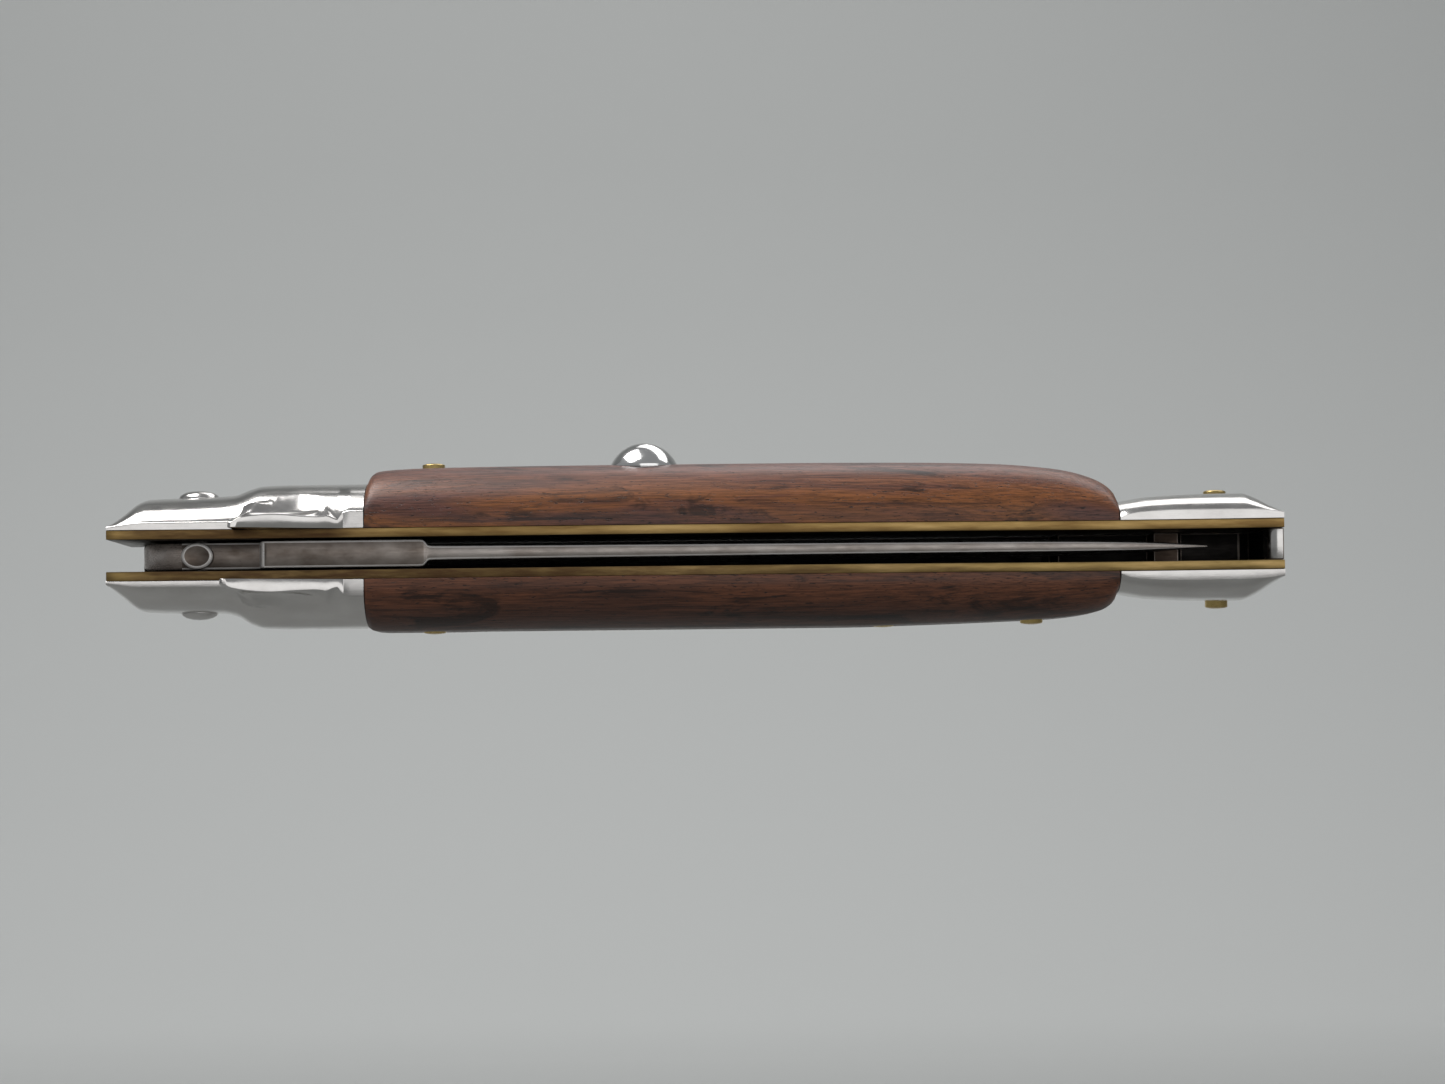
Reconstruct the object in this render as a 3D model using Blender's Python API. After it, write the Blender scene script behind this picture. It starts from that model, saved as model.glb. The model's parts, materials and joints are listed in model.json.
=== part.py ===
"""Push-button folding knife with a slim dagger-style handle, closed and lying on its side.

The handle is two liners with bolsters and wooden scales outside them. Between them lie the
folded blade, the back spring that locks it, and the kick spring. The button works a rocking
sear lever in a pocket under the upper scale.

Lengths below are in millimetres. X runs along the handle, from the pivot end to the butt.
Y runs across it, from the blade slot at -Y to the back spring at +Y. Z is up. A height h is
counted outwards from the handle's middle plane, up for the upper side, down for the lower.
"""
import bisect
import math

import bmesh
import bpy
from mathutils import Matrix, Vector

MM = 0.001
ASSEMBLY = "push_button_folding_knife"

# The handle and its layers.
HANDLE_END = 64.0
MID_Z = 8.68
LINER_IN = 1.75
LINER_OUT = 2.75
SEAT = 0.06
BASE = LINER_OUT + SEAT
HALF_WIDTH = [(-64, 8.9), (-59, 8.7), (-54, 8.5), (-48, 8.3), (-36, 8.6), (-5, 9.2),
              (20, 8.9), (36, 7.8), (46, 7.2), (55, 7.6), (64, 8.4)]

# The front bolsters, with their guard ears.
FRONT_JOINT = -36.2
FRONT_RIM = 0.9
EAR_LEANS = {1: 1.0, -1: 1.2}
FRONT_CROWNS = {
    1: [(-64, 3.4), (-62.4, 5.0), (-61, 6.2), (-60, 6.5), (-55, 6.65), (-50.8, 6.85),
        (-49, 7.5), (-46.6, 7.9), (-36.2, 7.95)],
    -1: [(-64, 3.4), (-62.4, 4.9), (-61, 5.85), (-58, 6.05), (-52.5, 6.1), (-50.6, 6.5),
         (-48.4, 7.6), (-46, 7.9), (-36.2, 7.95)],
}
EAR_PLAN = [(-48.9, 8.3), (-47.9, 9.6), (-46.6, 12.0), (-45.4, 13.0), (-44.5, 12.8),
            (-42.4, 11.1), (-40.2, 9.5), (-38.4, 8.55)]
EAR_THICK = [(-48.9, 0.9), (-46.6, 0.8), (-45.4, 0.6), (-44.6, 1.1), (-42.6, 1.5),
             (-41, 1.2), (-39.6, 0.7), (-38.4, 0.4)]
EAR_ROOT = 2.9
DISH_CENTRE = (-43.0, 13.0)
DISH_HALVES = (7.2, 6.2)
DISH_RISE = 2.0

# The rear bolsters.
REAR_JOINT = 46.4
REAR_RIM = 0.85
REAR_CROWN = [(46.4, 5.05), (50, 5.85), (60, 5.9), (61.5, 5.4), (63, 4.4), (64, 3.5)]

# The wooden scales.
SCALE_FRONT = -36.0
SCALE_REAR = 46.2
SCALE_RIM = 0.6
UPPER_CROWN = [(-36, 8.3), (-35.4, 9.1), (-34.6, 9.45), (-28, 9.7), (-10, 9.8), (10, 9.8),
               (24, 9.7), (33, 9.46), (40, 8.84), (42, 8.36), (44.5, 7.45), (45.6, 6.6),
               (46.2, 5.6)]
LOWER_CROWN = [(-36, 8.1), (-35, 8.4), (-26, 8.4), (-24, 8.35), (16, 8.35), (24, 8.2),
               (33, 7.94), (40, 7.67), (42, 7.4), (44.5, 6.95), (45.7, 6.1), (46.2, 5.6)]

# The blade and its pivot.
PIVOT_X = -55.0
PIVOT_R = 1.9
BLADE_THICK = 2.9
TANG_R = 5.3
TANG_NOSE = 6.0
TIP_X = 56.2
SPINE = [(-55, -5.3), (-47.7, -5.3), (-47.0, -8.0), (-46.4, -8.15), (-29.6, -8.15),
         (10, -8.1), (30, -7.5), (42, -6.4), (50, -4.9), (56.2, -3.3)]
EDGE = [(-55, 5.3), (-51.8, 5.0), (-48, 4.0), (-44, 3.8), (10, 3.8), (25, 3.2), (38, 1.7),
        (48, -0.6), (53, -2.1), (56.2, -3.1)]
SPINE_THICK = [(-30.0, 2.9), (-29.3, 2.3), (-28.9, 1.6), (-27.5, 1.45), (0, 1.25), (25, 1.1),
               (40, 1.0), (48, 0.8), (52, 0.5), (56.2, 0.15)]
MIDDLE_THICK = [(-30.0, 2.9), (-28.9, 2.4), (20, 2.2), (40, 1.8), (50, 1.1), (56.2, 0.2)]
EDGE_THICK = [(-40, 2.9), (-37, 1.6), (-32, 0.35), (56.2, 0.15)]
STUD_X = -54.5
STUD_TOP = 6.25
STUD_R = 1.78

# The back spring: a fixed root at the butt and the long arm that flexes.
ROOT_HALF = 1.7
ARM_HALF = 1.67
SPRING_THICK = 1.88
ARM_FRONT = -62.2
ARM_REAR = 30.7
ROOT_FRONT = 31.0
NOTCH_ROOF = 7.5
NOTCH_X = -55.5
NOTCH_HALF = 2.15
ARM_HINGE = (30.85, 7.2)
KICK_X = (-46.8, 38.6)
KICK_Y = (4.55, 5.05)
KICK_RIVET_X = 36.0

# The button and the sear lever under the upper scale.
SEAR_PIVOT = (-19.5, 4.7)
LEVER_HALF = 2.5
BUTTON_X = -5.7
BUTTON_TOP = 12.25
BUTTON_R = 4.0
BUTTON_BASE_R = 3.7
SEAR_PIN_X = -33.0
SEAR_PIN_R = 1.1
RETURN_X = -9.5

# Pins. Each scale pin is (name, side, x, height of its head above the middle plane).
SCALE_PIN_R = 1.25
SCALE_PINS = [("front_scale_pin_upper", 1, -29.0, 10.25),
              ("front_scale_pin_lower", -1, -29.0, 8.68),
              ("mid_scale_pin_lower", -1, 20.6, 8.45),
              ("rear_scale_pin_lower", -1, 37.0, 8.3)]
REAR_PIN = (58.1, 4.7)
REAR_PIN_TOP = 6.65
ROOT_RIVET = (43.0, 5.4)
BOLSTER_RIVET_X = -42.0
FIT = 0.1

FINISHES = {
    "steel": ((0.62, 0.62, 0.60), 1.0, 0.22),
    "dark_steel": ((0.36, 0.34, 0.32), 1.0, 0.38),
    "spring_steel": ((0.30, 0.30, 0.31), 1.0, 0.42),
    "chrome": ((0.80, 0.80, 0.80), 1.0, 0.08),
    "brass": ((0.58, 0.42, 0.16), 1.0, 0.30),
    "red_wood": ((0.30, 0.12, 0.08), 0.0, 0.38),
    "dark_wood": ((0.20, 0.08, 0.055), 0.0, 0.38),
}


def smooth_curve(points):
    """A function through the points that never overshoots them."""
    xs = [point[0] for point in points]
    ys = [point[1] for point in points]
    rises = [(ys[i + 1] - ys[i]) / (xs[i + 1] - xs[i]) for i in range(len(xs) - 1)]
    slopes = [rises[0]]
    for before, after in zip(rises, rises[1:]):
        turns = before * after <= 0
        slopes.append(0.0 if turns else 2 * before * after / (before + after))
    slopes.append(rises[-1])

    def value(x):
        x = min(max(x, xs[0]), xs[-1])
        i = min(bisect.bisect_right(xs, x), len(xs) - 1) - 1
        span = xs[i + 1] - xs[i]
        t = (x - xs[i]) / span
        start = ys[i] * (1 + 2 * t) + slopes[i] * span * t
        finish = ys[i + 1] * (3 - 2 * t) - slopes[i + 1] * span * (1 - t)
        return start * (1 - t) ** 2 + finish * t ** 2

    return value


half_width = smooth_curve(HALF_WIDTH)


def stations(start, end, count):
    """Evenly spaced places from start to end, both included."""
    return [start + (end - start) * i / (count - 1) for i in range(count)]


def eased_stations(start, end, count):
    """Places from start to end that crowd together towards both ends."""
    return [start + (end - start) * (1 - math.cos(math.pi * i / (count - 1))) / 2
            for i in range(count)]


# ---------------------------------------------------------------- scene and materials

def clear_scene():
    for old in list(bpy.data.objects):
        bpy.data.objects.remove(old, do_unlink=True)


def new_collection(name):
    made = bpy.data.collections.new(name)
    bpy.context.scene.collection.children.link(made)
    return made


def make_material(name, finish):
    colour, metallic, roughness = FINISHES[finish]
    made = bpy.data.materials.new(name)
    made.use_nodes = True
    shader = made.node_tree.nodes["Principled BSDF"]
    shader.inputs["Base Color"].default_value = (*colour, 1.0)
    shader.inputs["Metallic"].default_value = metallic
    shader.inputs["Roughness"].default_value = roughness
    made.diffuse_color = (*colour, 1.0)
    return made


def mesh_from(bm, name):
    """Finish a mesh made in millimetres: faces out, welded, scaled to metres."""
    bmesh.ops.remove_doubles(bm, verts=bm.verts, dist=1e-4)
    bmesh.ops.recalc_face_normals(bm, faces=bm.faces)
    bmesh.ops.scale(bm, vec=(MM, MM, MM), verts=bm.verts)
    mesh = bpy.data.meshes.new(name)
    bm.to_mesh(mesh)
    bm.free()
    return mesh


def add_part(name, bm, finish, place=(0, 0, 0), smooth_angle=None):
    """Put a sub-part in the assembly, at its place in millimetres."""
    part = bpy.data.objects.new(name, mesh_from(bm, name))
    part.data.materials.append(make_material(name, finish))
    part.location = Vector(place) * MM
    if smooth_angle:
        part.data.shade_smooth()
        part.data.set_sharp_from_angle(angle=math.radians(smooth_angle))
    parts.objects.link(part)
    return part


def height(side, h):
    """The Z of a height h above (side 1) or below (side -1) the middle plane."""
    return MID_Z + side * h


# ---------------------------------------------------------------- cutters

def add_cutter(name, bm, place):
    cutter = bpy.data.objects.new(name, mesh_from(bm, name))
    cutter.location = Vector(place) * MM
    cutter.hide_render = True
    cutter.display_type = "WIRE"
    cutters.objects.link(cutter)
    return cutter


def cylinder(radius, length, axis="Z", segments=20):
    """A closed cylinder about the origin, along an axis."""
    bm = bmesh.new()
    bmesh.ops.create_cone(bm, cap_ends=True, segments=segments, radius1=radius,
                          radius2=radius, depth=length)
    turns = {"X": Matrix.Rotation(math.pi / 2, 3, "Y"),
             "Y": Matrix.Rotation(math.pi / 2, 3, "X"), "Z": Matrix.Identity(3)}
    bmesh.ops.rotate(bm, cent=(0, 0, 0), matrix=turns[axis], verts=bm.verts)
    return bm


def box(size):
    bm = bmesh.new()
    bmesh.ops.create_cube(bm, size=1.0)
    bmesh.ops.scale(bm, vec=size, verts=bm.verts)
    return bm


def cut(part, cutter):
    """Take a cutter's shape out of a part."""
    modifier = part.modifiers.new(cutter.name, "BOOLEAN")
    modifier.operation = "DIFFERENCE"
    modifier.solver = "EXACT"
    modifier.object = cutter


def drill(target, x, y, radius, low_z, high_z):
    """Cut an upright round hole between two heights."""
    name = f"{target.name}_hole_{len(target.modifiers)}"
    middle = (x, y, (low_z + high_z) / 2)
    cut(target, add_cutter(name, cylinder(radius, high_z - low_z), middle))


def drill_through(target, x, y, radius):
    drill(target, x, y, radius, MID_Z - 15, MID_Z + 15)


def drill_across(target, x, z, radius):
    """Cut a round hole right through along Y."""
    name = f"{target.name}_cross_hole"
    cut(target, add_cutter(name, cylinder(radius, 40, "Y"), (x, 0, z)))


# ---------------------------------------------------------------- shape makers

def loft(rings):
    """A closed body through rings of points, which all have the same count."""
    bm = bmesh.new()
    loops = [[bm.verts.new(point) for point in ring] for ring in rings]
    count = len(rings[0])
    for near, far in zip(loops, loops[1:]):
        for i in range(count):
            j = (i + 1) % count
            bm.faces.new((near[i], near[j], far[j], far[i]))
    bm.faces.new(loops[0])
    bm.faces.new(reversed(loops[-1]))
    return bm


def plate(outline, low_z, high_z):
    """A flat plate with the outline's shape, standing between two heights."""
    bm = bmesh.new()
    face = bm.faces.new([bm.verts.new((x, y, low_z)) for x, y in outline])
    raised = bmesh.ops.extrude_face_region(bm, geom=[face])["geom"]
    top = [item for item in raised if isinstance(item, bmesh.types.BMVert)]
    bmesh.ops.translate(bm, vec=(0, 0, high_z - low_z), verts=top)
    return bm


def turned(profile, segments=24):
    """A solid turned about Z from (radius, height) points, both ends on the axis."""
    bm = bmesh.new()
    line = [bm.verts.new((radius, 0, z)) for radius, z in profile]
    for above, below in zip(line, line[1:]):
        bm.edges.new((above, below))
    bmesh.ops.spin(bm, geom=bm.verts[:] + bm.edges[:], cent=(0, 0, 0), axis=(0, 0, 1),
                   angle=2 * math.pi, steps=segments)
    return bm


def domed_pin(low, high, radius, dome):
    """A pin's profile: a plain shaft with a low dome on each end."""
    arc = [(radius * math.cos(a), dome * math.sin(a))
           for a in (math.radians(step * 30) for step in range(3))]
    upper = [(0, high)] + [(r, high - dome + rise) for r, rise in reversed(arc)]
    lower = [(r, low + dome - rise) for r, rise in arc] + [(0, low)]
    return upper + lower


def smooth_step(low, high, x):
    t = min(max((x - low) / (high - low), 0.0), 1.0)
    return t * t * (3 - 2 * t)


def domed(y, half, shoulder, crown, fullness, power=0.62, flat=1.0):
    """The height of a domed cross-section over y."""
    t = min(abs(y) / half, 1.0)
    return shoulder + max(crown - shoulder, 0.05) * min((1 - t ** fullness) ** power * flat, 1)


def shell(side, places, edge, outer, lean=0.0):
    """One side piece of the handle: flat on its liner, with outer(x, y) outside.

    At each x it reaches to y = +-edge(x). What goes past the handle's own outline leans
    towards the pivot end.
    """
    across = [math.sin(math.radians(step * 11.25)) for step in range(-8, 9)]
    rings = []
    for x in places:
        reach = edge(x)
        ring = [(-reach, BASE)] + [(v * reach, outer(x, v * reach)) for v in across]
        ring.append((reach, BASE))
        rings.append([(x - lean * max(abs(y) - half_width(x), 0.0), y, height(side, h))
                      for y, h in ring])
    return loft(rings)


# ---------------------------------------------------------------- the handle's outside

def front_bolster(name, side):
    """The bolster with its two guard ears, each hollowed into a dish on its outside."""
    ear, ear_thick = smooth_curve(EAR_PLAN), smooth_curve(EAR_THICK)
    crown = smooth_curve(FRONT_CROWNS[side])
    ear_front, ear_rear = EAR_PLAN[0][0], EAR_PLAN[-1][0]

    def edge(x):
        return max(half_width(x), ear(x)) if ear_front < x < ear_rear else half_width(x)

    def outer(x, y):
        body = domed(y, half_width(x), BASE + FRONT_RIM, crown(x), 2.6)
        if not ear_front < x < ear_rear:
            return body
        inside = smooth_step(ear_front, ear_front + 0.9, x)
        inside *= 1 - smooth_step(ear_rear - 0.6, ear_rear, x)
        block = BASE + FRONT_RIM + (EAR_ROOT - FRONT_RIM) * inside
        out = math.hypot((x - DISH_CENTRE[0]) / DISH_HALVES[0],
                         (abs(y) - DISH_CENTRE[1]) / DISH_HALVES[1])
        dish = BASE + ear_thick(x) + DISH_RISE * out ** 5
        return min(max(body, block), dish)

    places = stations(-64, -61, 3) + stations(-59, -52, 3) + stations(-50.5, -49.1, 3)
    places += stations(-48.6, -38.5, 14) + [-38.2, FRONT_JOINT]
    part = add_part(name, shell(side, places, edge, outer, EAR_LEANS[side]), "steel", smooth_angle=32)
    drill_through(part, PIVOT_X, 0, PIVOT_R + FIT)
    top = height(side, 5.6)
    deck = height(side, 0)
    drill(part, BOLSTER_RIVET_X, 0, 1.0 + FIT, min(top, deck), max(top, deck))
    return part


def rear_bolster(name, side):
    crown = smooth_curve(REAR_CROWN)

    def outer(x, y):
        return domed(y, half_width(x), BASE + REAR_RIM, crown(x), 2.6)

    places = eased_stations(REAR_JOINT, HANDLE_END, 14)
    part = add_part(name, shell(side, places, half_width, outer), "steel", smooth_angle=32)
    drill_through(part, *REAR_PIN, SCALE_PIN_R + FIT)
    return part


def wooden_scale(name, side, crown_points, finish, fullness, flat):
    crown = smooth_curve(crown_points)

    def outer(x, y):
        return domed(y, half_width(x), BASE + SCALE_RIM, crown(x), fullness, 0.5, flat)

    places = stations(SCALE_FRONT, -34.6, 4) + [-32, -30, -26, -24]
    places += stations(-20, 16, 8) + [20, 24, 28, 33, 36.5, 40, 42]
    places += eased_stations(43, SCALE_REAR, 7)
    return add_part(name, shell(side, places, half_width, outer), finish, smooth_angle=40)


def make_scales():
    upper = wooden_scale("scale_upper", 1, UPPER_CROWN, "red_wood", 2.6, 1.0)
    lower = wooden_scale("scale_lower", -1, LOWER_CROWN, "dark_wood", 2.8, 1.06)
    pocket = add_cutter("sear_pocket", box((33.5, 7.6, 9.0)), (-18.25, 0, MID_Z + 3.1))
    cut(upper, pocket)
    drill(upper, BUTTON_X, 0, BUTTON_BASE_R + 0.5, MID_Z + 7.0, MID_Z + 15)
    for name, side, x, head in SCALE_PINS:
        drill_through(upper if side > 0 else lower, x, 0, SCALE_PIN_R + FIT)


# ---------------------------------------------------------------- the frame inside

def make_liner(name, side):
    places = stations(-HANDLE_END, HANDLE_END, 25)
    outline = [(x, -half_width(x)) for x in places]
    outline += [(x, half_width(x)) for x in reversed(places)]
    near, far = height(side, LINER_IN), height(side, LINER_OUT)
    part = add_part(name, plate(outline, min(near, far), max(near, far)), "brass")
    drill_through(part, PIVOT_X, 0, PIVOT_R + FIT)
    drill_through(part, BOLSTER_RIVET_X, 0, 1.0 + FIT)
    drill_through(part, *REAR_PIN, SCALE_PIN_R + FIT)
    drill_through(part, *ROOT_RIVET, 0.8 + FIT)
    if side > 0:
        drill_through(part, SEAR_PIN_X, 0, SEAR_PIN_R + 0.4)
    for _, pin_side, x, _ in SCALE_PINS:
        if pin_side == side:
            drill_through(part, x, 0, SCALE_PIN_R + FIT)
    return part


def make_back_spring():
    """The fixed root: a strip along the back, a block at the butt and its end wall."""
    places = stations(ROOT_FRONT, HANDLE_END, 8)
    outline = [(x, half_width(x)) for x in places]
    outline += [(64.0, -7.9), (63.5, -7.9), (62.9, -7.7), (62.5, -7.1), (62.3, -5.8),
                (62.2, -3.0), (62.0, 0.0), (61.5, 1.6), (60.6, 2.4), (53.9, 2.4), (53.5, 0.9),
                (50.8, 0.9), (50.4, 3.7), (40.4, 3.7), (39.6, 5.3), (ROOT_FRONT, 5.3)]
    bm = plate(outline, MID_Z - ROOT_HALF, MID_Z + ROOT_HALF)
    part = add_part("back_spring", bm, "spring_steel")
    drill_through(part, *REAR_PIN, SCALE_PIN_R + FIT)
    drill_through(part, *ROOT_RIVET, 0.8 + FIT)
    drill_across(part, KICK_RIVET_X, MID_Z, 0.7 + FIT)
    return part


def make_lock_spring_arm():
    """The flexing arm, with a notch in its inner face that drops over the lock stud."""
    places = stations(ARM_FRONT, ARM_REAR, 20)
    outline = [(x, half_width(x)) for x in places]
    back = [(x, half_width(x) - SPRING_THICK) for x in reversed(places)]
    before = [point for point in back if point[0] > NOTCH_X + NOTCH_HALF + 0.5]
    after = [point for point in back if point[0] < NOTCH_X - NOTCH_HALF - 0.5]
    inner_y = half_width(NOTCH_X) - SPRING_THICK
    notch = [(NOTCH_X + NOTCH_HALF + 0.2, inner_y), (NOTCH_X + NOTCH_HALF, NOTCH_ROOF),
             (NOTCH_X - NOTCH_HALF, NOTCH_ROOF), (NOTCH_X - NOTCH_HALF - 0.2, inner_y)]
    bm = plate(outline + before + notch + after, MID_Z - ARM_HALF, MID_Z + ARM_HALF)
    part = add_part("lock_spring_arm", bm, "spring_steel")
    part.parent = lock_axis
    part.matrix_parent_inverse = Matrix.Translation(lock_axis.location).inverted()


def make_kick_spring():
    """A thin leaf beside the blade's edge, riveted to the back spring's root."""
    front, rear = KICK_X
    low, high = KICK_Y
    middle = ((front + rear) / 2, (low + high) / 2, MID_Z)
    part = add_part("kick_spring", box((rear - front, high - low, 2.6)), "spring_steel", middle)
    drill_across(part, KICK_RIVET_X, MID_Z, 0.7 + FIT)
    profile = [(0, 7.6), (0.7, 7.6), (0.7, 4.5), (1.15, 4.5), (1.15, 4.25), (0.8, 4.1),
               (0, 4.05)]
    shaft = turned(profile, 16)
    bmesh.ops.rotate(shaft, cent=(0, 0, 0), matrix=Matrix.Rotation(-math.pi / 2, 3, "X"),
                     verts=shaft.verts)
    add_part("kick_spring_rivet", shaft, "dark_steel", (KICK_RIVET_X, 0, MID_Z), 30)


# ---------------------------------------------------------------- the blade

def make_blade():
    """One loft from the round tang nose to the point, six points round each section."""
    spine, edge = smooth_curve(SPINE), smooth_curve(EDGE)
    spine_t, middle_t = smooth_curve(SPINE_THICK), smooth_curve(MIDDLE_THICK)
    edge_t = smooth_curve(EDGE_THICK)
    nose = [PIVOT_X - TANG_NOSE * math.cos(math.radians(a)) for a in range(6, 90, 12)]
    places = nose + [PIVOT_X, -51.8, -49, -47.7, -47.3, -47.0, -46.4, -42, -40, -37, -32]
    places += [-30.2, -29.6, -29.0, -28.5, -28.0, -27.2, -26, -20, -5, 10, 20, 30, 38, 44, 48]
    places += [51, 53, 54.6, TIP_X]
    rings = []
    for x in places:
        if x < PIVOT_X:
            y1 = TANG_R * (1 - ((PIVOT_X - x) / TANG_NOSE) ** 3) ** (1 / 3)
            y0 = -y1
        else:
            y0, y1 = spine(x), edge(x)
        ts, tm, te = spine_t(x) / 2, middle_t(x) / 2, edge_t(x) / 2
        ridge = y0 + 0.42 * (y1 - y0)
        ring = [(y0, ts), (ridge, tm), (y1, te), (y1, -te), (ridge, -tm), (y0, -ts)]
        rings.append([(x, y, MID_Z + t) for y, t in ring])
    part = add_part("blade", loft(rings), "steel")
    drill_through(part, PIVOT_X, 0, PIVOT_R + FIT)
    drill(part, SEAR_PIN_X, 0, SEAR_PIN_R + 0.5, MID_Z + 0.2, MID_Z + 3)
    part.parent = blade_axis
    part.matrix_parent_inverse = Matrix.Translation(blade_axis.location).inverted()


def make_lock_stud():
    """The oval stud on the tang, on the slot side while the blade is folded."""
    base = TANG_R + 0.05
    bm = turned([(0, STUD_TOP), (STUD_R - 0.48, STUD_TOP), (STUD_R, STUD_TOP - 0.4),
                 (STUD_R, base), (0, base)])
    bmesh.ops.scale(bm, vec=(1, BLADE_THICK / (2 * STUD_R), 1), verts=bm.verts)
    bmesh.ops.rotate(bm, cent=(0, 0, 0), matrix=Matrix.Rotation(math.pi / 2, 3, "X"),
                     verts=bm.verts)
    place = (STUD_X - PIVOT_X, 0, 0)
    stud = add_part("lock_stud", bm, "steel", place, 30)
    stud.parent = blade_axis


def make_pivot_pin():
    top, bottom = 7.45, -6.85
    seat_top, seat_bottom = 6.72, -6.15
    profile = [(0, top), (1.1, top - 0.05), (1.9, top - 0.3), (2.25, top - 0.6),
               (2.25, seat_top), (PIVOT_R, seat_top), (PIVOT_R, seat_bottom),
               (2.05, seat_bottom), (2.05, bottom + 0.6), (1.75, bottom + 0.35),
               (1.0, bottom + 0.05), (0, bottom)]
    add_part("pivot_pin", turned(profile), "steel", (PIVOT_X, 0, MID_Z), 30)


# ---------------------------------------------------------------- button and sear

def make_button():
    """A domed head on a plain shank and a thinner foot that stands on the lever."""
    centre = BUTTON_TOP - BUTTON_R
    edge_angle = math.acos(BUTTON_BASE_R / BUTTON_R)
    angles = [math.pi / 2 + (edge_angle - math.pi / 2) * i / 8 for i in range(9)]
    dome = [(BUTTON_R * math.cos(a), centre + BUTTON_R * math.sin(a)) for a in angles[1:]]
    profile = [(0, BUTTON_TOP)] + dome + [(BUTTON_BASE_R, 7.9), (2.0, 7.9), (2.0, 6.15),
                                          (0, 6.15)]
    button = add_part("button", turned(profile, 28), "chrome",
                      (BUTTON_X - SEAR_PIVOT[0], 0, -SEAR_PIVOT[1]), 30)
    button.parent = sear_axis


def make_sear_lever():
    """A rocking bar with a boss for its pivot and an eye that clears the scale pin."""
    pivot_x, pivot_h = SEAR_PIVOT
    side_view = [(-34.6, 6.1), (-3.4, 6.1), (-3.4, 4.9), (-17.3, 4.9), (-17.9, 3.6),
                 (-21.1, 3.6), (-21.7, 4.9), (-34.6, 4.9)]
    outline = [(x - pivot_x, h - pivot_h) for x, h in side_view]
    bm = plate(outline, -LEVER_HALF, LEVER_HALF)
    bmesh.ops.rotate(bm, cent=(0, 0, 0), matrix=Matrix.Rotation(math.pi / 2, 3, "X"),
                     verts=bm.verts)
    lever = add_part("sear_lever", bm, "dark_steel")
    lever.parent = sear_axis
    drill(lever, SCALE_PINS[0][2], 0, SCALE_PIN_R + 0.4, MID_Z, MID_Z + 15)
    drill_across(lever, pivot_x, MID_Z + pivot_h, 0.85)
    tip, head = 1.55, 4.85
    pin = turned(domed_pin(tip, head, SEAR_PIN_R, 0.25), 14)
    sear_pin = add_part("sear_pin", pin, "steel", (SEAR_PIN_X - pivot_x, 0, -pivot_h), 30)
    sear_pin.parent = sear_axis


def make_sear_saddle():
    """The U-shaped bracket on the liner that carries the lever's pivot pin."""
    pivot_x, pivot_h = SEAR_PIVOT
    wall_in, wall_out = 2.7, 3.4
    floor_top, wall_top = 3.3, 5.9
    outline = [(-wall_out, BASE), (wall_out, BASE), (wall_out, wall_top), (wall_in, wall_top),
               (wall_in, floor_top), (-wall_in, floor_top), (-wall_in, wall_top),
               (-wall_out, wall_top)]
    bm = plate(outline, -2.6, 2.6)
    turn = Matrix(((0, 0, 1), (1, 0, 0), (0, 1, 0)))
    bmesh.ops.transform(bm, matrix=turn.to_4x4(), verts=bm.verts)
    saddle = add_part("sear_saddle", bm, "dark_steel", (pivot_x, 0, MID_Z))
    drill_across(saddle, pivot_x, MID_Z + pivot_h, 0.85)
    pin = turned(domed_pin(-3.6, 3.6, 0.75, 0.15), 12)
    bmesh.ops.rotate(pin, cent=(0, 0, 0), matrix=Matrix.Rotation(math.pi / 2, 3, "X"),
                     verts=pin.verts)
    add_part("sear_pivot_pin", pin, "steel", (pivot_x, 0, MID_Z + pivot_h), 30)


def make_return_spring():
    """A short coil under the lever's button end."""
    turns, per_turn = 3, 10
    radius, wire = 1.35, 0.22
    low, high = BASE + wire + 0.05, 4.85 - wire - 0.05
    curve = bpy.data.curves.new("coil", "CURVE")
    curve.dimensions = "3D"
    curve.bevel_depth = wire
    curve.bevel_resolution = 1
    curve.use_fill_caps = True
    spline = curve.splines.new("POLY")
    spline.points.add(turns * per_turn)
    for i, point in enumerate(spline.points):
        angle = 2 * math.pi * i / per_turn
        rise = low + (high - low) * i / (turns * per_turn)
        point.co = (radius * math.cos(angle), radius * math.sin(angle), rise, 1)
    source = bpy.data.objects.new("coil", curve)
    bpy.context.scene.collection.objects.link(source)
    bpy.context.view_layer.update()
    solid = bpy.data.meshes.new_from_object(source.evaluated_get(
        bpy.context.evaluated_depsgraph_get()))
    bm = bmesh.new()
    bm.from_mesh(solid)
    bpy.data.objects.remove(source)
    add_part("sear_return_spring", bm, "spring_steel", (RETURN_X, 0, MID_Z), 60)


# ---------------------------------------------------------------- pins

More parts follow.
